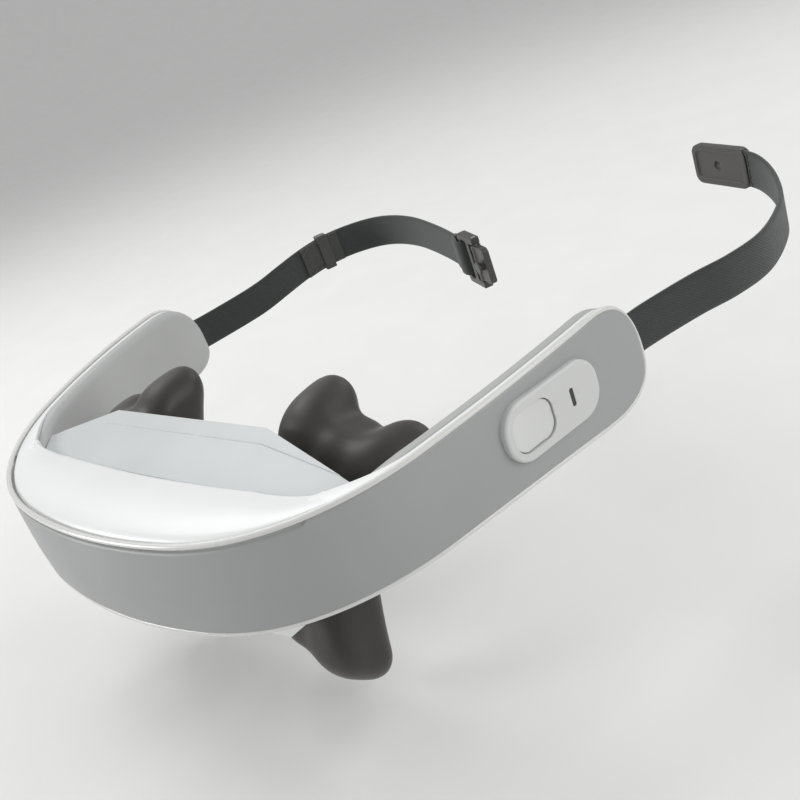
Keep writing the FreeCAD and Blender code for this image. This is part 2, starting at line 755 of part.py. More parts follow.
def end_fold():
    """The strap's end folded round the buckle frame's bar, as two layers that meet behind it."""
    outer = [(-9, 0.7), (-1, 2.95), (3.4, 2.95), (3.95, 2.4), (3.95, -2.4), (3.4, -2.95), (-1, -2.95), (-9, -0.7)]
    inner = [(-3.5, 0.9), (-0.4, 1.53), (2.53, 1.53), (2.53, -1.53), (-0.4, -1.53), (-3.5, -0.9)]
    solids = []
    for points in (outer, inner):
        flat = [Vector(x, -STRAP_WIDTH / 2, z) for x, z in points]
        solids.append(prism(flat, Vector(0, STRAP_WIDTH, 0)))
    return solids[0].cut(solids[1])


def frame_at(curve, share):
    """Frame on a strap: +X along it, +Y up, +Z outwards from its face."""
    u = curve.FirstParameter + (curve.LastParameter - curve.FirstParameter) * share
    tangent = curve.tangent(u)[0]
    along = Vector(tangent.x, tangent.y, 0).normalize()
    outward = along.cross(Vector(0, 0, 1))
    return Placement(curve.value(u), Rotation(along, Vector(0, 0, 1), outward, "XYZ"))


def strap_clamp(side):
    """The clamp inside an arm's tip that the strap's end is sewn into."""
    centre = tip_anchor(side)
    body = box(centre.x - 1.5, centre.x + 1.5, centre.y - 5, centre.y + 4, centre.z - 6.9, centre.z + 6.9)
    wall = STRAP_THICK / 2 + 0.05
    half = STRAP_WIDTH / 2 + 0.05
    return body.cut(box(centre.x - wall, centre.x + wall, centre.y, centre.y + 9, centre.z - half, centre.z + half))


def buckle_frame():
    """The frame at the left strap's end: a window for the webbing and a hinge bar."""
    plate = rounded_plate(11.0, 18.0, 1.5, -1.5, 1.5, 5.5, 0)
    window = rounded_plate(4.2, 13.6, 0.9, -3, 3, 4.6, 0)
    ears = box(9.4, 13.2, 6.6, 9.0, -1.5, 1.5).fuse(box(9.4, 13.2, -9.0, -6.6, -1.5, 1.5))
    frame = plate.cut(window).cut(box(9.2, 14, -6.6, 6.6, -3, 3)).fuse(ears)
    bar = Part.makeCylinder(0.8, 20, Vector(12.0, -10, 0), Vector(0, 1, 0))
    return frame.cut(bar)


def buckle_pin():
    """The steel pin of the buckle's hook plate."""
    return Part.makeCylinder(0.8, 18, Vector(12.0, -9, 0), Vector(0, 1, 0))


def hook_plate():
    """The hook plate that swings on the pin, with the hole that takes the tab's stud."""
    plate = rounded_plate(8.4, 12.6, 1.6, -1.1, 1.1, 15.6, 0)
    barrel = Part.makeCylinder(1.7, 12.6, Vector(12.0, -6.3, 0), Vector(0, 1, 0))
    bore = Part.makeCylinder(0.8 + RUNNING, 20, Vector(12.0, -10, 0), Vector(0, 1, 0))
    knob = rod(16.4, 0, 1.1, 2.4, 1.5).fuse(rod(16.4, 0, 2.4, 3.2, 2.2))
    return plate.fuse(barrel).cut(bore).fuse(knob).removeSplitter()


def end_tab():
    """The moulded tab on the right strap's end, with a rim and its round hole."""
    body = rounded_plate(TAB_LENGTH, 13.8, 3.4, -1.5, 1.5, TAB_LENGTH / 2 - 3.0, 0)
    recess = rounded_plate(TAB_LENGTH - 4.0, 10.0, 2.2, -3.0, -0.9, TAB_LENGTH / 2 - 3.0, 0)
    return body.cut(recess).cut(rod(TAB_HOLE_X, 0, -4, 4, TAB_HOLE_RADIUS))


def keeper():
    """The sewn doubler and moulded keeper loop round the left strap."""
    half = STRAP_WIDTH / 2
    thick = STRAP_THICK / 2
    ring = box(-2.2, 2.2, -half - 0.9, half + 0.9, -thick - 1.0, thick + 2.0)
    return ring.cut(box(-4, 4, -half - 0.15, half + 0.15, -thick - 0.15, thick + 1.15))


# ---------------------------------------------------------------- build

def build_band():
    trim = edge_trim()
    save("edge_trim", trim)
    save("outer_shell", outer_shell(trim))
    save("mid_frame", mid_frame())
    save("inner_liner", inner_liner())


def build_housing():
    rear, dome, facing, bottom = housing_pieces()
    save("face_plate", face_plate(rear))
    save("dome_cover", dome)
    save("facing_cover", facing)
    save("bottom_cover", bottom.cut(port_opening()))
    save("charge_port", charge_port())
    save("port_board", port_board())


def build_heads():
    core = claw_core()
    right = {"claw_core": core, "claw_pad": claw_pad(core), "head_shaft": head_shaft(),
             "shaft_bushes": shaft_bushes()}
    for name, shape in right.items():
        piece = placed(shape, HEAD_FRAME)
        save(name + "_right", piece)
        save(name + "_left", mirrored(piece))


def build_drive():
    pieces = {"head_gear_right": head_gear(1), "head_gear_left": head_gear(-1), "drive_gear": train_gear(1),
              "idler_gear": train_gear(-1), "motor_rotor": motor_rotor(), "idler_pin": idler_pin(),
              "motor": motor_can(), "main_board": main_board()}
    for name, shape in pieces.items():
        save(name, placed(shape, HEAD_FRAME))
    save("motor_plate", motor_plate())
    save("drive_screws", drive_screws())


def build_controls():
    save("battery_cell", curved_cell())
    pieces = {"control_panel": control_panel(), "power_button": power_button(),
              "tact_switch": tact_switch(), "light_pipe": light_pipe(), "control_board": control_board()}
    for name, shape in pieces.items():
        save(name, placed(shape, PANEL))


def build_straps():
    right_path = strap_path(RIGHT_ROUTE)
    left_path = strap_path(LEFT_ROUTE)
    buckle = frame_at(left_path, 1.0)
    right = ribbon(right_path, 0.0, 1.0, STRAP_WIDTH, STRAP_THICK, STRAP_STATIONS)
    left = ribbon(left_path, 0.0, 0.985, STRAP_WIDTH, STRAP_THICK, STRAP_STATIONS)
    left = left.fuse(placed(end_fold(), buckle))
    save("strap_right", right)
    save("strap_left", left)
    save("strap_clamp_right", strap_clamp(1).cut(right))
    save("strap_clamp_left", strap_clamp(-1).cut(left))
    save("end_tab", placed(end_tab(), frame_at(right_path, 1.0)).cut(right))
    save("buckle_frame", placed(buckle_frame(), buckle).cut(left))
    save("buckle_pin", placed(buckle_pin(), buckle))
    save("hook_plate", placed(hook_plate(), buckle))
    save("strap_keeper", placed(keeper(), frame_at(left_path, KEEPER_SHARE)).cut(left))


os.makedirs("parts", exist_ok=True)
build_band()
build_housing()
build_heads()
build_drive()
build_controls()
build_straps()
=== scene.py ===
import math

import bmesh
import bpy
import numpy as np
from mathutils import Matrix, Vector


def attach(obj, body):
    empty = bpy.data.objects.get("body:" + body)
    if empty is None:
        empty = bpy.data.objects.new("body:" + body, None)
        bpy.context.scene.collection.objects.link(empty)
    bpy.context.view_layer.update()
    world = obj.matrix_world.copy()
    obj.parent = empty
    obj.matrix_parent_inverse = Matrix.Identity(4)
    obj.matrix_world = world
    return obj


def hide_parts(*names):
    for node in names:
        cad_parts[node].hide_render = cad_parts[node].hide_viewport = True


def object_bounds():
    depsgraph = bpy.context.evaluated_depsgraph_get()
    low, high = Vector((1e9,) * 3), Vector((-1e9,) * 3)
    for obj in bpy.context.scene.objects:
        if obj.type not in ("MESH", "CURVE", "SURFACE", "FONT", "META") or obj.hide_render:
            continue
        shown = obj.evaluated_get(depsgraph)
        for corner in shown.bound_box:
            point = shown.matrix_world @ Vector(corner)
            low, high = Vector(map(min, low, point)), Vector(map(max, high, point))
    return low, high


# Eye massager mask: the looks. Lengths are in millimetres until a mesh is made, then in metres.
MM = 0.001

# Meshes: how near points are welded, and the angles between faces that count as flat and as an edge.
WELD = 1e-6
FLAT_ANGLE = math.radians(1.5)
EDGE_ANGLE = math.radians(28)

# Band, as in the CAD part: arcs in plan from the front centre to a tip, as (radius, turn in degrees).
BAND_ARCS = ((195.0, 10.0), (85.0, 10.5), (63.0, 50.0), (240.0, 17.55))
FRONT_HEIGHT = 26.8
ARM_RISE = (22.8, -15.8)
HEIGHT_CHANGE = (-0.296, 0.496)
TIP_TOP_ROUND = 16.9
TIP_BOTTOM_ROUND = 20.5
TIP_LEVEL = -0.19
TIP_POWER = 2.3
TIP_SPINE = 14.0

# Loops of a band layer. Its faces are loops scaled about their middle: an inset fades out below INSET_FROM,
# and a widened top starts at WIDEN_FROM. Stations along the rim are (start, end, count).
FACE_SCALES = (0.0, 0.3, 0.6, 0.8, 0.92)
INSET_FROM = 0.35
WIDEN_FROM = 0.6
ROUND_STEPS = 5
TIP_STEPS = 12
RIM_STATIONS = ((0, 68, 32), (69, 78, 19), (80, 150, 36))
LAST_STATIONS = 7

# The front of the rim, where each layer's top steps down for the dome: up to SPLIT along the band, and
# from there over a fade. WEDGE is the long fade, of the liner's step and of the strip's widening.
SPLIT = 73.0
WEDGE = 30.0
SHORT_FADE = 2.0

# Layers of the band, as depths in from its outer face.
SHELL_DEPTHS = (0.0, 2.9)
STRIP_DEPTHS = (2.45, 4.0)
LINER_DEPTHS = (4.25, 8.8)

# Piping round the rim: how far in from the outline and the outer face its middle lies, and its half sizes.
PIPING_INSET = 0.08
PIPING_DEPTH = 1.15
PIPING_UP = 0.72
PIPING_ACROSS = 0.78
PIPING_SIDES = 14

# Dome cover. Its rear edge lies DOME_GAP off the facing, and its ends rest on the band's inner edge,
# DOME_REST in from the outer face.
DOME_REAR = -33.0
DOME_TOP = 15.2
DOME_HALF = 65.0
DOME_SPAN = 80.0
DOME_RIM = 2.5
DOME_GAP = 0.3
DOME_REST = 8.5
DOME_SINK = 0.45
DOME_SKIRT = 2.6
DOME_LAP = 0.2
DOME_LEVEL_HALF = 14.0
DOME_CLIMB = 1.8
DOME_BOW = 3.4
DOME_CROWN = 2.3
DOME_SHARES = (0.0, 0.02, 0.05, 0.1, 0.18, 0.3, 0.42, 0.55, 0.68, 0.8, 0.9, 0.96, 1.0)
DOME_COLUMNS = 97
RIM_ROLL = 0.8
REAR_ROLL = 0.35

# Sloping facing: its middle's slope, and the level and slopes of its two shoulders about one point.
FACING_SLOPE = 0.378
SHOULDER_X = 35.0
SHOULDER_Y = -15.0
SHOULDER_TOP = 22.0
SHOULDER_FALL = 0.1444
SHOULDER_SLOPE = 0.3192

# Massage heads, in the drive frame. The claws' field is sampled every CLAW_STEP, CLAW_ROOM to each side
# of their axis.
HEAD_TILT = 21.0
HEAD_BASE = (0.0, -10.0, -16.0)
HEAD_X = 37.0
UPPER_REACH = 35.0
LOWER_REACH = 34.3
LOBE_HALF_ANGLE = 24.5
HEAD_PHASE = -21.0
CLAW_BACK = 8.0
CLAW_FRONT = 12.5
FLARE = 9.0
HUB_RADIUS = 12.0
FINGER_RADIUS = 9.0
WEB_REACH = 26.0
WEB_RADIUS = 8.8
COLLAR_RADIUS = 8.6
COLLAR_MIDDLE = 9.0
COLLAR_HALF = 7.5
DISH_RADIUS = 20.0
DISH_AWAY = 26.0
FINGER_BLEND = 5.0
WEB_BLEND = 6.0
FACE_BLEND = 7.0
DISH_BLEND = 5.0
CLAW_STEP = 0.9
CLAW_ROOM = 47.0
CLAW_LEVELS = (-12.0, 18.0)
CLAW_SMOOTHING = 4

# Control panel: its place along the right arm and up it, its pocket as (length, height, corner) and depth.
PANEL_ALONG = 140.0
PANEL_UP = 1.3
PANEL_SIZE = (32.0, 16.0, 7.0)
POCKET_LEVELS = (-2.4, 3.0)
CORNER_STEPS = 8

# Straps, through the same points as the CAD straps. DOUBLER is the doubled stretch of the left strap.
STRAP_WIDTH = 12.4
STRAP_THICK = 1.4
RIGHT_ROUTE = ((94.6, 48.6, 7.1), (95.0, 56.5, 7.3), (96.8, 63.0, 8.2), (105.2, 79.0, 9.7),
               (111.5, 91.0, 10.0), (114.5, 106.0, 10.0), (111.5, 126.0, 10.6), (105.5, 139.5, 12.0),
               (98.8, 149.5, 13.4), (92.3, 155.8, 14.7), (86.5, 159.5, 15.0))
LEFT_ROUTE = ((-94.6, 48.6, 7.1), (-95.0, 56.5, 6.8), (-94.0, 63.0, 6.6), (-83.5, 82.0, 9.2),
              (-78.5, 95.0, 12.0), (-76.0, 106.0, 13.6), (-71.0, 117.0, 14.8), (-62.0, 127.0, 15.0),
              (-50.0, 131.0, 15.0), (-32.0, 127.0, 15.0), (-8.0, 114.5, 15.0), (12.5, 101.5, 15.0))
STRAP_SPACING = 1.0
STRAP_SMOOTHING = 6
DOUBLER = (61.0, 79.0)
FOLD_THICK = 1.2
FOLD_BACK = 6.0
DOUBLER_OUT = 1.25
THREAD_OUT = 0.8
DOUBLER_THREAD_OUT = 1.9
STITCH_LEVELS = 4.6
STITCH_PROFILE = ((-0.9, 0.05), (-0.6, 0.2), (0.0, 0.26), (0.6, 0.2), (0.9, 0.05))
STITCH_SIDES = 6
RIB_PITCH = 0.9
PICK_PITCH = 1.15
UV_MIDDLE = 100.0

# Camera: place in millimetres, turn as (around, above, roll) in degrees, lens in millimetres.
CAMERA_AT = (231.50, -141.48, 121.19)
CAMERA_TURN = (48.872, 24.485, -20.889)
CAMERA_LENS = 44.79

# Floor, in metres: how far it lies flat, its edge, the rise there and its gap under the mask.
FLOOR_GAP = 0.004
FLOOR_STEPS = 12
FLOOR_SIDES = 64
FLOOR_FLAT = 2.0
FLOOR_EDGE = 9.0
FLOOR_RISE = 4.0

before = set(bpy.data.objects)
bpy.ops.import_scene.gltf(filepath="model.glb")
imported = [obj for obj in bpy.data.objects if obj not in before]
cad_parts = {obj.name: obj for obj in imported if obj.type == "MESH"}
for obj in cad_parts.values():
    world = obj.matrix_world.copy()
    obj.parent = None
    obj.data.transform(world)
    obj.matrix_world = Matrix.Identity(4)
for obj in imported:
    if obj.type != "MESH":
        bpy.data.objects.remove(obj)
cad_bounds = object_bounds()


# ---------------------------------------------------------------- band geometry

def lay_arcs(front_y):
    """Each plan arc as (centre x, centre y, radius, start heading, end heading)."""
    arcs = []
    x, y, heading = 0.0, front_y, 0.0
    for radius, turn in BAND_ARCS:
        cx = x - radius * math.sin(heading)
        cy = y + radius * math.cos(heading)
        end = heading + math.radians(turn)
        arcs.append((cx, cy, radius, heading, end))
        x = cx + radius * math.sin(end)
        y = cy - radius * math.cos(end)
        heading = end
    return arcs, y


DEPTH = lay_arcs(0.0)[1]
FRONT_Y = -DEPTH / 2
ARCS = lay_arcs(FRONT_Y)[0]
HALF_LENGTH = sum(a[2] * (a[4] - a[3]) for a in ARCS)


def plan_point(s, offset):
    """Plan point and heading at a signed distance round the band, moved in from its outer face."""
    distance = abs(s)
    for arc in ARCS:
        length = arc[2] * (arc[4] - arc[3])
        if distance <= length or arc is ARCS[-1]:
            break
        distance -= length
    cx, cy, radius, start, _ = arc
    heading = start + distance / radius
    reach = radius - offset
    x = cx + reach * math.sin(heading)
    return math.copysign(1, s) * x, cy - reach * math.cos(heading), heading


def middle_level(y):
    """Height of the band's middle line at a depth."""
    t = (y - FRONT_Y) / DEPTH
    return ARM_RISE[0] * t + ARM_RISE[1] * t * t


def half_height(y):
    """Half the band's height at a depth."""
    t = (y - FRONT_Y) / DEPTH
    return FRONT_HEIGHT / 2 * (1 + HEIGHT_CHANGE[0] * t + HEIGHT_CHANGE[1] * t * t)


def run_stations(end):
    """Signed distances along one long side of the rim, closer where its top steps down at the front."""
    fixed = [s for start, stop, count in RIM_STATIONS for s in np.linspace(start, stop, count)]
    fixed += list(np.linspace(RIM_STATIONS[-1][1] + 2, end, LAST_STATIONS))
    return [-s for s in reversed(fixed)] + fixed[1:]


def ease(share):
    """A smooth step from 0 to 1."""
    share = min(1.0, max(0.0, share))
    return share * share * (3 - 2 * share)


def rim_loop(scale, inset, offset, drop=0.0, fade=SHORT_FADE, widen=0.0):
    """One closed loop of a band layer: the side outline, scaled about its middle and drawn in.

    Towards the front its top sinks by drop, over a length of fade, and its top moves in by widen.
    """
    inset = inset * min(1.0, scale / INSET_FROM)
    opening = widen * ease((scale - WIDEN_FROM) / (1 - WIDEN_FROM))
    points = []

    def add(s, side, u):
        top = side > 0
        shift = opening * ease((SPLIT + WEDGE - abs(s)) / WEDGE) if top else 0.0
        x, y, _ = plan_point(s, offset + shift)
        level = TIP_LEVEL + (side - TIP_LEVEL) * u * scale
        z = middle_level(y) + half_height(y) * level - side * inset * u
        if top:
            z -= drop * ease((SPLIT + fade - abs(s)) / fade)
        points.append((x, y, z))

    def tip(side, angle):
        u = math.sin(angle) ** (2 / TIP_POWER)
        depth = TIP_TOP_ROUND if side > 0 else TIP_BOTTOM_ROUND
        back = depth * (1 - math.cos(angle) ** (2 / TIP_POWER))
        return HALF_LENGTH - inset * (1 - u) - TIP_SPINE * (1 - scale) - scale * back, u

    angles = [math.pi / 2 * i / TIP_STEPS for i in range(1, TIP_STEPS)]
    ends = {side: tip(side, math.pi / 2)[0] for side in (1, -1)}
    for s in run_stations(ends[1]):
        add(s, 1, 1.0)
    for angle in reversed(angles):
        s, u = tip(1, angle)
        add(s, 1, u)
    for angle in [0.0] + angles:
        s, u = tip(-1, angle)
        add(s, -1, u)
    for s in reversed(run_stations(ends[-1])):
        add(s, -1, 1.0)
    for angle in reversed(angles):
        s, u = tip(-1, angle)
        add(-s, -1, u)
    for angle in [0.0] + angles:
        s, u = tip(1, angle)
        add(-s, 1, u)
    return points


def band_slab(out, deep, inset, round_out, round_in, crown, drop, fade=SHORT_FADE, widen=0.0):
    """Loops of one band layer: crowned outer face, two rounded rims and the inner face.

    The layer lies from out to deep, measured in from the band's outer face.
    """
    loops = []
    for scale in FACE_SCALES:
        loops.append(rim_loop(scale, inset + round_out, out + crown * scale ** 2, drop, fade))
    turns = [math.pi / 2 * i / ROUND_STEPS for i in range(ROUND_STEPS + 1)]
    for a in turns:
        loops.append(rim_loop(1.0, inset + round_out * (1 - math.sin(a)),
                              out + crown + round_out * (1 - math.cos(a)), drop, fade))
    for a in turns:
        loops.append(rim_loop(1.0, inset + round_in * (1 - math.cos(a)),
                              deep - round_in * (1 - math.sin(a)), drop, fade, widen))
    for scale in reversed(FACE_SCALES):
        loops.append(rim_loop(scale, inset + round_in, deep, drop, fade, widen))
    return loops


# ---------------------------------------------------------------- mesh helpers

def add_object(name, data):
    """A new object in the scene."""
    obj = bpy.data.objects.new(name, data)
    bpy.context.scene.collection.objects.link(obj)
    return obj


def mesh_of(name, points, faces):
    """A mesh from points in millimetres."""
    mesh = bpy.data.meshes.new(name)
    mesh.from_pydata([tuple(MM * c for c in p) for p in points], [], faces)
    return mesh


def new_piece(name, points, faces, material, body="mask", sharp=40):
    """A mesh piece from points in millimetres, welded, with its normals outwards."""
    mesh = mesh_of(name, points, faces)
    work = bmesh.new()
    work.from_mesh(mesh)
    bmesh.ops.remove_doubles(work, verts=work.verts, dist=WELD)
    bmesh.ops.recalc_face_normals(work, faces=work.faces)
    work.to_mesh(mesh)
    work.free()
    obj = add_object(name, mesh)
    finish_mesh(obj, material, sharp)
    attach(obj, body)
    return obj


def finish_mesh(obj, material, sharp=40):
    """Smooth shading with sharp edges over an angle, and one material."""
    mesh = obj.data
    mesh.polygons.foreach_set("use_smooth", [True] * len(mesh.polygons))
    mesh.set_sharp_from_angle(angle=math.radians(sharp))
    mesh.materials.clear()
    mesh.materials.append(material)


def skin(loops, wrap=False, closed=True):
    """Points and quads that join a list of equal loops."""
    count = len(loops[0])
    points = [p for loop in loops for p in loop]
    rows = len(loops) if wrap else len(loops) - 1
    columns = count if closed else count - 1
    faces = []
    for r in range(rows):
        a = r * count
        b = (r + 1) % len(loops) * count
        for c in range(columns):
            d = (c + 1) % count
            faces.append((a + c, a + d, b + d, b + c))
    return points, faces


def bake(obj):
    """Applies an object's modifiers to its mesh."""
    graph = bpy.context.evaluated_depsgraph_get()
    mesh = bpy.data.meshes.new_from_object(obj.evaluated_get(graph))
    obj.modifiers.clear()
    obj.data = mesh


def smooth_out(obj, passes):
    """Smooths an object's mesh, after whatever modifiers it has."""
    smooth = obj.modifiers.new("smooth", "SMOOTH")
    smooth.factor = 0.5
    smooth.iterations = passes
    bake(obj)


def moulded(name, node, voxel, passes, material, body="mask"):
    """A piece in a CAD node's shape with every edge rounded as a moulding's are."""
    obj = add_object(name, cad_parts[node].data.copy())
    remesh = obj.modifiers.new("remesh", "REMESH")
    remesh.mode = "VOXEL"
    remesh.voxel_size = voxel * MM
    smooth_out(obj, passes)
    finish_mesh(obj, material, 180)
    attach(obj, body)
    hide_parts(node)


def softened(name, node, width, material):
    """A piece in a CAD node's shape with its sharp edges rounded over by a width."""
    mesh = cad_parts[node].data.copy()
    work = bmesh.new()
    work.from_mesh(mesh)
    bmesh.ops.remove_doubles(work, verts=work.verts, dist=WELD)
    bmesh.ops.dissolve_limit(work, angle_limit=FLAT_ANGLE, verts=work.verts, edges=work.edges)
    edges = [e for e in work.edges if len(e.link_faces) == 2 and e.calc_face_angle(0) > EDGE_ANGLE]
    bmesh.ops.bevel(work, geom=edges, offset=width * MM, segments=3, profile=0.5, affect="EDGES",
                    clamp_overlap=True)
    bmesh.ops.remove_doubles(work, verts=work.verts, dist=WELD / 10)
    work.to_mesh(mesh)
    work.free()
    obj = add_object(name, mesh)
    finish_mesh(obj, material, 50)
    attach(obj, "mask")
    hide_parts(node)


# ---------------------------------------------------------------- materials

def start_material(name, colour, roughness):
    """A new node material, returned with its nodes, links and shader."""
    material = bpy.data.materials.new(name)
    material.use_nodes = True
    nodes = material.node_tree.nodes
    shader = nodes["Principled BSDF"]
    shader.inputs["Base Color"].default_value = (*colour, 1)
    shader.inputs["Roughness"].default_value = roughness
    return material, nodes, material.node_tree.links, shader


def noise(nodes, links, scale, detail, stretch=(1, 1, 1)):
    """A noise texture in object space, stretched along the axes."""
    source = nodes.new("ShaderNodeTexCoord")
    mapping = nodes.new("ShaderNodeMapping")
    mapping.inputs["Scale"].default_value = stretch
    texture = nodes.new("ShaderNodeTexNoise")
    texture.inputs["Scale"].default_value = scale
    texture.inputs["Detail"].default_value = detail
    links.new(source.outputs["Object"], mapping.inputs["Vector"])
    links.new(mapping.outputs["Vector"], texture.inputs["Vector"])
    return texture.outputs["Fac"]


def ramp(nodes, links, source, stops):
    """A colour ramp on a value, with stops of (place, colour)."""
    node = nodes.new("ShaderNodeValToRGB")
    elements = node.color_ramp.elements
    while len(elements) < len(stops):
        elements.new(0.5)
    for element, (place, colour) in zip(elements, stops):
        element.position = place
        element.color = (*colour, 1)
    links.new(source, node.inputs["Fac"])
    return node.outputs["Color"]


def spread(nodes, links, source, low, high):
    """A 0 to 1 value turned into a range."""
    node = nodes.new("ShaderNodeMapRange")
    node.inputs["To Min"].default_value = low
    node.inputs["To Max"].default_value = high
    links.new(source, node.inputs["Value"])
    return node.outputs["Result"]


def bump(nodes, links, shader, height, strength, distance):
    """A bump from a height value."""
    node = nodes.new("ShaderNodeBump")
    node.inputs["Strength"].default_value = strength
    node.inputs["Distance"].default_value = distance
    links.new(height, node.inputs["Height"])
    links.new(node.outputs["Normal"], shader.inputs["Normal"])


def plastic(name, colour, roughness, grain=1800, strength=0.12, vary=0.03, coat=0.0):
    """Moulded plastic: faint mottling, uneven gloss and a fine moulded grain."""
    material, nodes, links, shader = start_material(name, colour, roughness)
    broad = noise(nodes, links, 28, 2)
    dark = tuple(c * (1 - vary) for c in colour)
    light = tuple(min(1.0, c * (1 + vary)) for c in colour)
    links.new(ramp(nodes, links, broad, ((0.35, dark), (0.65, light))), shader.inputs["Base Color"])
    gloss = noise(nodes, links, 140, 4)
    links.new(spread(nodes, links, gloss, roughness - 0.05, roughness + 0.05), shader.inputs["Roughness"])
    bump(nodes, links, shader, noise(nodes, links, grain, 2), strength, 0.00006)
    shader.inputs["Coat Weight"].default_value = coat
    shader.inputs["Coat Roughness"].default_value = 0.12
    return material


def metal(name, colour, roughness, stretch=(1, 1, 14)):
    """Turned or drawn metal with fine streaks."""
    material, nodes, links, shader = start_material(name, colour, roughness)
    shader.inputs["Metallic"].default_value = 1.0
    streaks = noise(nodes, links, 420, 5, stretch)
    links.new(spread(nodes, links, streaks, roughness - 0.1, roughness + 0.12), shader.inputs["Roughness"])
    dark = tuple(c * 0.86 for c in colour)
    links.new(ramp(nodes, links, streaks, ((0.3, dark), (0.7, colour))), shader.inputs["Base Color"])
    bump(nodes, links, shader, streaks, 0.15, 0.00003)
    return material


def silicone(name):
    """Dark soft silicone: matt skin, slight bloom where it curves and a fine moulded texture."""
    material, nodes, links, shader = start_material(name, (0.024, 0.0215, 0.0185), 0.5)
    broad = noise(nodes, links, 45, 3)
    colours = ((0.3, (0.020, 0.018, 0.0155)), (0.7, (0.029, 0.026, 0.0225)))
    links.new(ramp(nodes, links, broad, colours), shader.inputs["Base Color"])
    gloss = noise(nodes, links, 260, 4)
    links.new(spread(nodes, links, gloss, 0.40, 0.54), shader.inputs["Roughness"])
    shader.inputs["Sheen Weight"].default_value = 0.18
    shader.inputs["Sheen Roughness"].default_value = 0.4
    bump(nodes, links, shader, noise(nodes, links, 2600, 2), 0.18, 0.00005)
    return material


def maths(nodes, links, operation, *values):
    """A maths node on sockets and plain numbers, in the order of its inputs."""
    node = nodes.new("ShaderNodeMath")
    node.operation = operation
    for socket, value in zip(node.inputs, values):
        if isinstance(value, float):
            socket.default_value = value
        else:
            links.new(value, socket)
    return node.outputs[0]


def webbing(name, colour):
    """Woven strap: ribs along its length and crossing picks, from its own UV in millimetres, with painted
    shade in the weave's hollows and painted light on its raised threads.
    """
    material, nodes, links, shader = start_material(name, colour, 0.85)
    source = nodes.new("ShaderNodeUVMap")
    split = nodes.new("ShaderNodeSeparateXYZ")
    links.new(source.outputs["UV"], split.inputs["Vector"])

    def wave(axis, size, *phase):
        scaled = maths(nodes, links, "MULTIPLY_ADD", split.outputs[axis], 2 * math.pi / size, *phase)
        return maths(nodes, links, "SINE", scaled)

    ribs = wave("Y", RIB_PITCH)
    shift = maths(nodes, links, "MULTIPLY", maths(nodes, links, "SIGN", ribs), math.pi / 2)
    picks = wave("X", PICK_PITCH, shift)
    rounded = maths(nodes, links, "ABSOLUTE", ribs)
    height = maths(nodes, links, "MULTIPLY_ADD", picks, 0.45, rounded)
    fuzz = spread(nodes, links, noise(nodes, links, 900, 4), 0.1, 0.35)
    # The colour follows the weave's height: painted shade in its hollows and painted light on its raised
    # threads, with random fuzz from the noise.
    painted_weave_shade_and_fuzz = maths(nodes, links, "MULTIPLY_ADD", height, 0.45, fuzz)
    dark = tuple(c * 0.6 for c in colour)
    light = tuple(c * 1.25 for c in colour)
    stops = ((0.15, dark), (0.5, colour), (0.9, light))
    links.new(ramp(nodes, links, painted_weave_shade_and_fuzz, stops), shader.inputs["Base Color"])
    shader.inputs["Sheen Weight"].default_value = 0.25
    bump(nodes, links, shader, height, 0.55, 0.00016)
    return material


def circuit_board(name):
    """Solder-masked board in small blocks, with lighter lanes between them."""
    material, nodes, links, shader = start_material(name, (0.02, 0.10, 0.05), 0.35)
    source = nodes.new("ShaderNodeTexCoord")
    bricks = nodes.new("ShaderNodeTexBrick")
    bricks.inputs["Scale"].default_value = 260
    bricks.inputs["Mortar Size"].default_value = 0.05
    bricks.inputs["Color1"].default_value = (0.02, 0.11, 0.05, 1)
    bricks.inputs["Color2"].default_value = (0.015, 0.08, 0.04, 1)
    bricks.inputs["Mortar"].default_value = (0.05, 0.20, 0.09, 1)
    links.new(source.outputs["Object"], bricks.inputs["Vector"])
    links.new(bricks.outputs["Color"], shader.inputs["Base Color"])
    bump(nodes, links, shader, bricks.outputs["Fac"], 0.3, 0.00004)
    shader.inputs["Coat Weight"].default_value = 0.4
    return material


def bronze(name):
    """Oil-soaked sintered bronze with open pores, with painted shade darkening the pores."""
    material, nodes, links, shader = start_material(name, (0.55, 0.36, 0.17), 0.42)
    shader.inputs["Metallic"].default_value = 1.0
    cells = nodes.new("ShaderNodeTexVoronoi")
    cells.inputs["Scale"].default_value = 2600
    source = nodes.new("ShaderNodeTexCoord")
    links.new(source.outputs["Object"], cells.inputs["Vector"])
    # Painted shade: the pores that the bump sinks are coloured darker than the metal round them.
    painted_pore_shade = ((0.1, (0.30, 0.19, 0.09)), (0.5, (0.58, 0.38, 0.18)))
    links.new(ramp(nodes, links, cells.outputs["Distance"], painted_pore_shade), shader.inputs["Base Color"])
    bump(nodes, links, shader, cells.outputs["Distance"], 0.3, 0.00004)
    return material


# ---------------------------------------------------------------- band pieces

def drive_matrix():
    """Drive frame: +Z forward into the housing and +Y up along the heads' faces."""
    turn = Matrix.Rotation(math.radians(90 - HEAD_TILT), 4, "X")
    return Matrix.Translation(Vector(HEAD_BASE)) @ turn


def panel_matrix():
    """Panel frame: +X back along the right arm, +Y up, +Z outwards."""
    x, y, heading = plan_point(PANEL_ALONG, 0.0)
    along = Vector((math.cos(heading), math.sin(heading), 0))
    outward = Vector((math.sin(heading), -math.cos(heading), 0))
    turn = Matrix((along, Vector((0, 0, 1)), outward)).transposed().to_4x4()
    return Matrix.Translation((x, y, middle_level(y) + PANEL_UP)) @ turn


def rounded_outline(length, height, radius):
    """Points round a rounded rectangle."""
    points = []
    for quarter in range(4):
        cx = (length / 2 - radius) * (1 if quarter in (0, 3) else -1)
        cy = (height / 2 - radius) * (1 if quarter in (0, 1) else -1)
        for i in range(CORNER_STEPS + 1):
            a = math.pi / 2 * (quarter + i / CORNER_STEPS)
            points.append((cx + radius * math.cos(a), cy + radius * math.sin(a)))
    return points


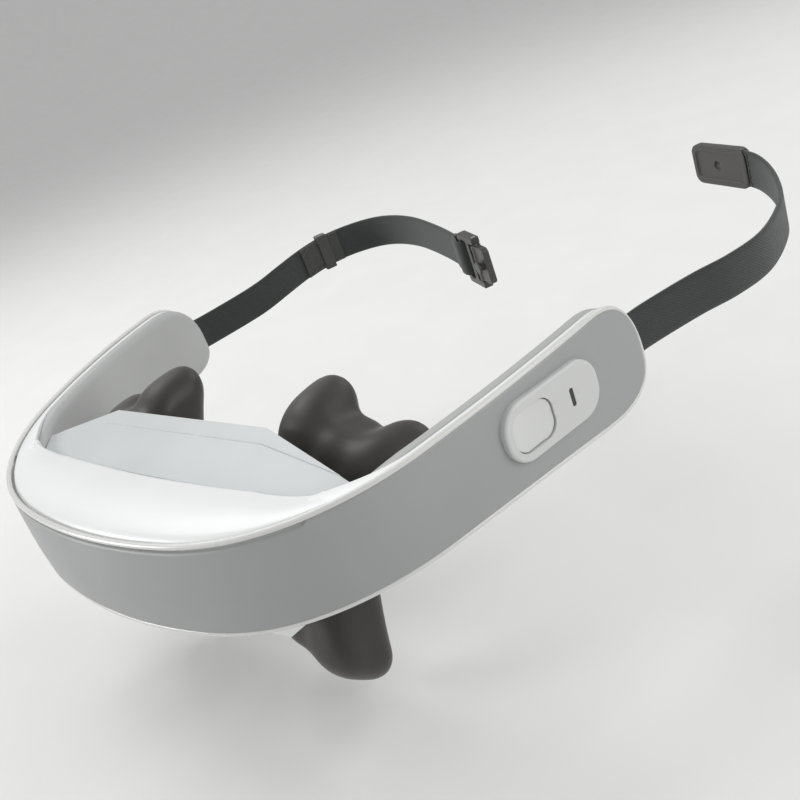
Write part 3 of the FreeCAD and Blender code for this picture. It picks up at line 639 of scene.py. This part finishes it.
def cut_pocket(shell):
    """Cuts the control panel's pocket out of the shell."""
    outline = rounded_outline(*PANEL_SIZE)
    place = panel_matrix()
    points = [place @ Vector((x, y, z)) for z in POCKET_LEVELS for x, y in outline]
    count = len(outline)
    faces = [tuple(range(count)), tuple(range(2 * count - 1, count - 1, -1))]
    faces += [(i, (i + 1) % count, count + (i + 1) % count, count + i) for i in range(count)]
    mesh = mesh_of("pocket", points, faces)
    work = bmesh.new()
    work.from_mesh(mesh)
    bmesh.ops.recalc_face_normals(work, faces=work.faces)
    work.to_mesh(mesh)
    work.free()
    cutter = add_object("pocket", mesh)
    cut = shell.modifiers.new("pocket", "BOOLEAN")
    cut.operation = "DIFFERENCE"
    cut.solver = "EXACT"
    cut.object = cutter
    bake(shell)
    bpy.data.objects.remove(cutter)


def build_band(mats):
    """The shell, its piping, the white strip and the liner."""
    slab = band_slab(*SHELL_DEPTHS, inset=0.35, round_out=0.9, round_in=0.3, crown=0.35, drop=1.2)
    points, faces = skin(slab)
    shell = new_piece("band_shell", points, faces, mats["shell"])
    cut_pocket(shell)
    finish_mesh(shell, mats["shell"])
    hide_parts("outer_shell")
    rings = []
    for i in range(PIPING_SIDES):
        a = 2 * math.pi * i / PIPING_SIDES
        inset = PIPING_INSET - PIPING_UP * math.sin(a)
        rings.append(rim_loop(1.0, inset, PIPING_DEPTH - PIPING_ACROSS * math.cos(a)))
    points, faces = skin(rings, wrap=True)
    piping = new_piece("band_piping", points, faces, mats["piping"], sharp=80)
    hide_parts("edge_trim")
    slab = band_slab(*STRIP_DEPTHS, inset=0.25, round_out=0.35, round_in=0.35, crown=0.0, drop=2.4,
                     widen=4.4)
    points, faces = skin(slab)
    strip = new_piece("band_strip", points, faces, mats["dome"])
    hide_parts("mid_frame")
    slab = band_slab(*LINER_DEPTHS, inset=0.3, round_out=0.5, round_in=2.9, crown=0.0, drop=3.4,
                     fade=WEDGE)
    points, faces = skin(slab)
    liner = new_piece("band_liner", points, faces, mats["liner"], sharp=60)
    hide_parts("inner_liner")


# ---------------------------------------------------------------- dome

def facing_height(x, y):
    """Height of the sloping facing behind the dome, with its two shoulders."""
    middle = DOME_TOP + (y - DOME_REAR) * FACING_SLOPE
    shoulder = SHOULDER_TOP - SHOULDER_FALL * (abs(x) - SHOULDER_X) + SHOULDER_SLOPE * (y - SHOULDER_Y)
    return min(middle, shoulder)


def dome_back(s):
    """The dome's rear edge: on the facing in the middle, and up on the band's inner edge at its ends."""
    back_x = DOME_HALF * s / DOME_SPAN
    back_y = DOME_REAR - DOME_GAP + DOME_BOW * (s / DOME_SPAN) ** 2
    on_facing = Vector((back_x, back_y, facing_height(back_x, back_y) + DOME_GAP))
    x, y, _ = plan_point(s, DOME_REST)
    on_band = Vector((x, y, middle_level(y) + half_height(y) - DOME_SINK))
    climb = max(0.0, abs(s) - DOME_LEVEL_HALF) / (DOME_SPAN - DOME_LEVEL_HALF)
    back = on_facing.lerp(on_band, climb ** DOME_CLIMB)
    back.y = max(back.y, on_facing.y)
    return back


def dome_rows():
    """Rows of the dome: up its skirt, from the band's rim back to its rear edge and down its rear wall."""
    rows = [[] for _ in range(len(DOME_SHARES) + 3)]
    for s in np.linspace(-DOME_SPAN, DOME_SPAN, DOME_COLUMNS):
        x, y, _ = plan_point(s, DOME_RIM)
        rim = Vector((x, y, middle_level(y) + half_height(y) - DOME_LAP))
        back = dome_back(s)
        inward = (back - rim).normalized()
        crown = DOME_CROWN * (1 - (s / DOME_SPAN) ** 2) ** 0.8
        rows[0].append(rim + Vector((0, 0, -DOME_SKIRT)))
        for i, share in enumerate(DOME_SHARES):
            point = rim.lerp(back, share)
            point.z += crown * 4 * share * (1 - share) * (1.35 - 0.7 * share)
            point.z -= RIM_ROLL * max(0.0, 1 - share / 0.05) ** 2
            point.z -= REAR_ROLL * max(0.0, 1 - (1 - share) / 0.04) ** 2
            rows[i + 1].append(point)
        wall = back.z - facing_height(back.x, back.y) + 0.5
        foot = back + inward * DOME_LAP
        rows[-2].append(foot + Vector((0, 0, -0.9)))
        rows[-1].append(foot + Vector((0, 0, -max(wall, 1.2))))
    return rows


def build_dome(mats):
    """The white dome cover between the band's rim and the sloping facing."""
    points, faces = skin(dome_rows(), closed=False)
    dome = new_piece("dome", points, faces, mats["dome"], sharp=60)
    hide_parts("dome_cover")


# ---------------------------------------------------------------- claws

def surface_net(field, start, step):
    """Points and quads of the surface where a sampled field crosses zero."""
    shape = tuple(n - 1 for n in field.shape)
    total = np.zeros(shape + (3,))
    count = np.zeros(shape)
    corners = [(i, j, k) for i in (0, 1) for j in (0, 1) for k in (0, 1)]

    def at(corner):
        i, j, k = corner
        return field[i:i + shape[0], j:j + shape[1], k:k + shape[2]]

    for a in corners:
        for axis in range(3):
            if a[axis] == 1:
                continue
            b = tuple(v + (1 if n == axis else 0) for n, v in enumerate(a))
            low, high = at(a), at(b)
            crossing = (low < 0) != (high < 0)
            share = np.where(crossing, low / np.where(crossing, low - high, 1), 0)
            for n in range(3):
                total[..., n] += crossing * (a[n] + (share if n == axis else 0))
            count += crossing
    active = count > 0
    index = np.full(shape, -1)
    index[active] = np.arange(active.sum())
    cells = np.argwhere(active)
    points = start + step * (cells + total[active] / count[active][:, None])
    inside = field < 0
    quads = []
    for axis in range(3):
        near = np.swapaxes(inside, 0, axis)
        crossing = near[:-1] != near[1:]
        for p, q, r in np.argwhere(crossing):
            if q == 0 or r == 0 or q > near.shape[1] - 2 or r > near.shape[2] - 2:
                continue
            ring = []
            for dq, dr in ((-1, -1), (0, -1), (0, 0), (-1, 0)):
                cell = [p, q + dq, r + dr]
                cell[0], cell[axis] = cell[axis], cell[0]
                ring.append(int(index[tuple(cell)]))
            quads.append(ring)
    return points, quads


def blend_min(a, b, size):
    """Smooth union of two distance fields."""
    share = np.clip(0.5 + 0.5 * (b - a) / size, 0, 1)
    return b * (1 - share) + a * share - size * share * (1 - share)


def blend_max(a, b, size):
    """Smooth intersection of two distance fields."""
    return -blend_min(-a, -b, size)


def turned(x, y, degrees):
    """Distances along and across a direction from the claw's axis."""
    a = math.radians(degrees + HEAD_PHASE)
    return x * math.cos(a) + y * math.sin(a), -x * math.sin(a) + y * math.cos(a)


def finger(x, y, degrees, reach):
    """Distance to one finger's outline, slimmer at its middle and fuller at its tip."""
    along, across = turned(x, y, degrees)
    share = np.clip(along / reach, 0, 1)
    return np.hypot(along - share * reach, across) - (FINGER_RADIUS - 1.6 * share + 1.5 * share ** 3)


def web(x, y, degrees):
    """Distance to the web between one pair of fingers."""
    along, across = turned(x, y, degrees)
    share = np.clip(along / WEB_REACH, 0, 1)
    return np.hypot(along - share * WEB_REACH, across) - WEB_RADIUS


def claw_field(x, y, z):
    """Distance field of one soft claw about its own axis: four fingers on a deep webbed root."""
    radius = np.hypot(x, y)
    forward = np.clip((z + CLAW_BACK) / (CLAW_FRONT + CLAW_BACK), 0, 1)
    flat = radius - HUB_RADIUS
    for middle, full_reach in ((90, UPPER_REACH), (270, LOWER_REACH)):
        reach = full_reach - FLARE * forward ** 1.5
        for half in (-LOBE_HALF_ANGLE, LOBE_HALF_ANGLE):
            flat = blend_min(flat, finger(x, y, middle + half, reach), FINGER_BLEND)
    for middle in (90, 270):
        flat = blend_min(flat, web(x, y, middle) + 2.2 * forward, WEB_BLEND)
    lift = np.clip(radius / UPPER_REACH, 0, 1.2)
    level = (CLAW_FRONT - CLAW_BACK) / 2 - 1.4 * lift ** 2
    claw = blend_max(flat, np.abs(z - level) - (CLAW_FRONT + CLAW_BACK) / 2, FACE_BLEND)
    collar = blend_max(radius - COLLAR_RADIUS, np.abs(z - COLLAR_MIDDLE) - COLLAR_HALF, 1.5)
    claw = blend_min(claw, collar, 2.5)
    dish = np.sqrt(x ** 2 + y ** 2 + (z + DISH_AWAY) ** 2) - DISH_RADIUS
    return blend_max(claw, -dish, DISH_BLEND)


def build_claws(mats):
    """Both soft claws, each replacing its CAD pad."""
    across = np.arange(-CLAW_ROOM, CLAW_ROOM, CLAW_STEP)
    deep = np.arange(*CLAW_LEVELS, CLAW_STEP)
    x, y, z = np.meshgrid(across, across, deep, indexing="ij")
    corner = np.array([across[0], across[0], deep[0]])
    points, quads = surface_net(claw_field(x, y, z), corner, CLAW_STEP)
    place = drive_matrix() @ Matrix.Translation((HEAD_X, 0, 0))
    placed = [tuple(place @ Vector(p)) for p in points]
    for side, name in ((1, "right"), (-1, "left")):
        here = [(side * p[0], p[1], p[2]) for p in placed]
        claw = new_piece("claw_" + name, here, quads, mats["silicone"], name + "_head", sharp=180)
        smooth_out(claw, CLAW_SMOOTHING)
        finish_mesh(claw, mats["silicone"], 180)
        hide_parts("claw_pad_" + name)


# ---------------------------------------------------------------- straps

def smooth_path(route):
    """Points about a millimetre apart on a smooth curve through the route."""
    nodes = [Vector(p) for p in route]
    nodes = [nodes[0] * 2 - nodes[1]] + nodes + [nodes[-1] * 2 - nodes[-2]]
    path = []
    for a, b, c, d in zip(nodes, nodes[1:], nodes[2:], nodes[3:]):
        steps = max(2, round((c - b).length / STRAP_SPACING))
        for i in range(steps):
            t = i / steps
            point = 2 * b + (c - a) * t + (2 * a - 5 * b + 4 * c - d) * t ** 2
            point += (3 * b - a - 3 * c + d) * t ** 3
            path.append(point / 2)
    path.append(nodes[-2].copy())
    for _ in range(STRAP_SMOOTHING):
        middle = [(path[i - 1] + 2 * path[i] + path[i + 1]) / 4 for i in range(1, len(path) - 1)]
        path = [path[0]] + middle + [path[-1]]
    return path


def strap_section(width, thick):
    """The webbing's section as (across, out) points, with rounded selvedges."""
    half = width / 2 - thick / 2
    selvedge = [(thick / 2 * math.sin(a), thick / 2 * math.cos(a)) for a in (0.8, 1.57, 2.34)]
    points = [(v, thick / 2) for v in np.linspace(-half, half, 9)]
    points += [(half + v, n) for v, n in selvedge]
    points += [(v, -thick / 2) for v in np.linspace(half, -half, 9)]
    points += [(-half - v, -n) for v, n in selvedge]
    return points


def walked(path):
    """Distance along a path at each of its points."""
    lengths = [0.0]
    for a, b in zip(path, path[1:]):
        lengths.append(lengths[-1] + (b - a).length)
    return lengths


def outward_at(path, i):
    """Horizontal unit vector out of the strap's face at a point."""
    step = path[min(i + 1, len(path) - 1)] - path[max(i - 1, 0)]
    step.z = 0
    return step.normalized().cross(Vector((0, 0, 1)))


def ribbon(name, path, width, thick, shift, material):
    """A strap piece along a path, moved out of its plane by a shift, with its UV in millimetres.

    The UV runs along the strap and across it, with UV_MIDDLE on its middle line.
    """
    section = strap_section(width, thick)
    lengths = walked(path)
    rings = []
    for i, point in enumerate(path):
        out = outward_at(path, i)
        rings.append([point + out * (shift + n) + Vector((0, 0, v)) for v, n in section])
    points, faces = skin(rings)
    count = len(section)
    faces.append(tuple(reversed(range(count))))
    faces.append(tuple(range(len(points) - count, len(points))))
    mesh = mesh_of(name, points, faces)
    layer = mesh.uv_layers.new(name="UVMap")
    for face in mesh.polygons:
        for loop in face.loop_indices:
            row, column = divmod(mesh.loops[loop].vertex_index, count)
            layer.data[loop].uv = (lengths[row], section[column][0] + UV_MIDDLE)
    obj = add_object(name, mesh)
    finish_mesh(obj, material, 60)
    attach(obj, "mask")
    return obj


def part_of(path, start, end):
    """The stretch of a path between two distances."""
    return [p for p, d in zip(path, walked(path)) if start <= d <= end]


def stitches(name, path, places, shift, material):
    """Rows of raised thread stitches across or along a strap, at (distance, level, upright) places."""
    lengths = walked(path)
    points, faces = [], []
    for distance, level, upright in places:
        i = int(np.argmin([abs(d - distance) for d in lengths]))
        out = outward_at(path, i)
        along = Vector((0, 0, 1)).cross(out)
        run = Vector((0, 0, 1)) if upright else along
        side = run.cross(out)
        base = path[i] + out * shift + Vector((0, 0, level))
        rings = []
        for u, r in STITCH_PROFILE:
            ring = []
            for n in range(STITCH_SIDES):
                a = 2 * math.pi / STITCH_SIDES * n
                ring.append(base + run * u + side * r * math.cos(a) + out * r * math.sin(a))
            rings.append(ring)
        ring_points, ring_faces = skin(rings)
        faces += [tuple(v + len(points) for v in face) for face in ring_faces]
        points += ring_points
    new_piece(name, points, faces, material, sharp=80)


def fold_path(path):
    """The path of the left strap's folded end, out round the buckle's bar and back."""
    end = path[-1]
    out = outward_at(path, len(path) - 1)
    along = Vector((0, 0, 1)).cross(out)
    profile = [(-9, 0.75), (-5, 1.3), (-1.5, 2.2), (1.2, 2.3), (3.0, 1.7), (3.35, 0.0), (3.0, -1.7),
               (1.2, -2.3), (-1.5, -2.2), (-5, -1.3), (-9, -0.75)]
    return [end + along * x + out * z for x, z in profile]


def build_straps(mats):
    """Both straps, the sewn doubler, the fold at the buckle and every row of stitches."""
    right = smooth_path(RIGHT_ROUTE)
    left = smooth_path(LEFT_ROUTE)
    strap = ribbon("webbing_right", right, STRAP_WIDTH, STRAP_THICK, 0.0, mats["webbing"])
    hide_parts("strap_right")
    finish = walked(left)[-1]
    body = part_of(left, 0.0, finish - FOLD_BACK)
    strap = ribbon("webbing_left", body, STRAP_WIDTH, STRAP_THICK, 0.0, mats["webbing"])
    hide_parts("strap_left")
    doubled = part_of(left, *DOUBLER)
    ribbon("strap_doubler", doubled, STRAP_WIDTH - 0.3, FOLD_THICK, DOUBLER_OUT, mats["webbing_light"])
    ribbon("strap_fold", fold_path(left), STRAP_WIDTH - 0.2, FOLD_THICK, 0.0, mats["webbing"])
    low, high = DOUBLER
    levels = np.linspace(-STITCH_LEVELS, STITCH_LEVELS, 5)
    places = [(d, level, True) for d in (low + 1.6, high - 6.0) for level in levels]
    places += [(d, level, False) for d in np.linspace(low + 3.5, high - 8.0, 4) for level in (-5.0, 5.0)]
    stitches("doubler_stitches", left, places, DOUBLER_THREAD_OUT, mats["thread"])
    places = [(finish - 10.5, level, True) for level in levels]
    stitches("fold_stitches", left, places, THREAD_OUT, mats["thread"])
    places = [(walked(right)[-1] - 4.0, level, True) for level in levels]
    stitches("tab_stitches", right, places, -THREAD_OUT, mats["thread"])


# ---------------------------------------------------------------- carried-over nodes

def dress_nodes(mats):
    """Gives every CAD node that stays its own finish."""
    finishes = {"steel": ("head_shaft_right", "head_shaft_left", "motor_rotor", "idler_pin", "drive_screws",
                          "buckle_pin", "charge_port", "motor"),
                "bronze": ("shaft_bushes_right", "shaft_bushes_left"),
                "acetal": ("head_gear_right", "head_gear_left", "drive_gear", "idler_gear"),
                "board": ("main_board", "control_board", "port_board"),
                "core": ("claw_core_right", "claw_core_left", "strap_clamp_right", "strap_clamp_left",
                         "tact_switch"),
                "cell": ("battery_cell",),
                "light": ("light_pipe",),
                "plate": ("motor_plate",),
                "button": ("power_button",),
                "panel": ("control_panel",)}
    for finish, names in finishes.items():
        for name in names:
            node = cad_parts[name]
            node.data.materials.clear()
            node.data.materials.append(mats[finish])


def make_materials():
    """Every finish on the mask."""
    return {
        "shell": plastic("soft_touch_grey", (0.33, 0.335, 0.335), 0.46, grain=2600, strength=0.1),
        "piping": plastic("bright_piping", (0.66, 0.655, 0.64), 0.28, strength=0.03, coat=0.4),
        "liner": plastic("liner_grey", (0.42, 0.425, 0.42), 0.5, grain=2200, strength=0.1),
        "dome": plastic("dome_white", (0.82, 0.83, 0.83), 0.34, strength=0.03, vary=0.012, coat=0.12),
        "facing": plastic("facing_grey", (0.55, 0.57, 0.57), 0.42, grain=2400, strength=0.07),
        "silicone": silicone("dark_silicone"),
        "webbing": webbing("webbing_dark", (0.031, 0.034, 0.034)),
        "webbing_light": webbing("webbing_doubler", (0.050, 0.049, 0.046)),
        "thread": plastic("sewing_thread", (0.07, 0.07, 0.068), 0.7, grain=5000, strength=0.5),
        "buckle": plastic("buckle_dark", (0.052, 0.050, 0.047), 0.4, strength=0.15),
        "panel": plastic("panel_grey", (0.58, 0.585, 0.58), 0.36, strength=0.05, coat=0.1),
        "button": plastic("button_grey", (0.64, 0.645, 0.64), 0.42, strength=0.08),
        "light": plastic("dark_window", (0.012, 0.012, 0.014), 0.12, strength=0.02, coat=0.5),
        "acetal": plastic("gear_acetal", (0.78, 0.75, 0.68), 0.35, strength=0.05),
        "core": plastic("core_black", (0.02, 0.02, 0.02), 0.5, strength=0.25),
        "plate": plastic("plate_natural", (0.60, 0.60, 0.58), 0.5, strength=0.2),
        "cell": metal("cell_foil", (0.42, 0.44, 0.47), 0.38, (1, 1, 1)),
        "steel": metal("drawn_steel", (0.58, 0.58, 0.58), 0.3),
        "bronze": bronze("sintered_bronze"),
        "board": circuit_board("board_green"),
    }


# ---------------------------------------------------------------- stage

def add_floor():
    """A plain pale floor just under the mask, curving up far behind it."""
    low = cad_bounds[0][2] - FLOOR_GAP
    profile = [(0.01, 0.0), (0.6, 0.0), (FLOOR_FLAT, 0.0)]
    for i in range(1, FLOOR_STEPS + 1):
        out = FLOOR_FLAT + i / FLOOR_STEPS * (FLOOR_EDGE - FLOOR_FLAT)
        profile.append((out, FLOOR_RISE * (i / FLOOR_STEPS) ** 2))
    turns = [2 * math.pi * n / FLOOR_SIDES for n in range(FLOOR_SIDES)]
    rings = [[(reach * math.cos(t), reach * math.sin(t), low + rise) for t in turns]
             for reach, rise in profile]
    points, faces = skin(rings)
    mesh = bpy.data.meshes.new("floor")
    mesh.from_pydata(points, [], faces + [tuple(range(FLOOR_SIDES))])
    floor = add_object("floor", mesh)
    finish_mesh(floor, plastic("floor_pale", (0.78, 0.78, 0.77), 0.9, grain=60, strength=0.02, vary=0.01))


def add_light(name, at, size, power):
    """A soft square light that faces the mask, in metres and watts."""
    data = bpy.data.lights.new(name, "AREA")
    data.size = size
    data.energy = power
    light = add_object(name, data)
    light.location = at
    light.rotation_euler = (-Vector(at)).to_track_quat("-Z", "Y").to_euler()


def add_camera():
    """The camera at the photograph's viewing angle."""
    around, above, roll = [math.radians(v) for v in CAMERA_TURN]
    level = math.cos(above)
    back = Vector((math.sin(around) * level, -math.cos(around) * level, math.sin(above)))
    right = Vector((math.cos(around), math.sin(around), 0))
    up = back.cross(right)
    side = right * math.cos(roll) + up * math.sin(roll)
    top = up * math.cos(roll) - right * math.sin(roll)
    data = bpy.data.cameras.new("camera")
    data.lens = CAMERA_LENS
    data.clip_start = 0.01
    camera = add_object("camera", data)
    turn = Matrix((side, top, back)).transposed().to_4x4()
    camera.matrix_world = Matrix.Translation(Vector(CAMERA_AT) * MM) @ turn
    bpy.context.scene.camera = camera


def add_stage():
    """Floor, lights, camera and the room's even light."""
    add_floor()
    add_light("key", (-0.50, 0.10, 0.70), 0.5, 2.2)
    add_light("left", (-0.75, -0.65, 0.30), 0.4, 5.0)
    add_light("right", (0.80, 0.20, 0.40), 0.6, 3.0)
    add_light("rim", (0.15, 0.80, 0.50), 0.5, 1.2)
    world = bpy.data.worlds.new("room")
    world.use_nodes = True
    background = world.node_tree.nodes["Background"]
    background.inputs["Color"].default_value = (0.93, 0.94, 0.94, 1)
    background.inputs["Strength"].default_value = 0.6
    bpy.context.scene.world = world
    bpy.context.scene.view_settings.view_transform = "Standard"
    add_camera()


materials = make_materials()
build_band(materials)
build_dome(materials)
softened("facing", "facing_cover", 0.75, materials["facing"])
softened("rear_plate", "face_plate", 1.2, materials["facing"])
softened("underside", "bottom_cover", 0.75, materials["dome"])
build_claws(materials)
build_straps(materials)
moulded("tab", "end_tab", 0.25, 12, materials["buckle"])
moulded("buckle", "buckle_frame", 0.22, 6, materials["buckle"])
moulded("hook", "hook_plate", 0.2, 6, materials["buckle"], "hook")
moulded("keeper", "strap_keeper", 0.22, 10, materials["webbing_light"])
dress_nodes(materials)
add_stage()
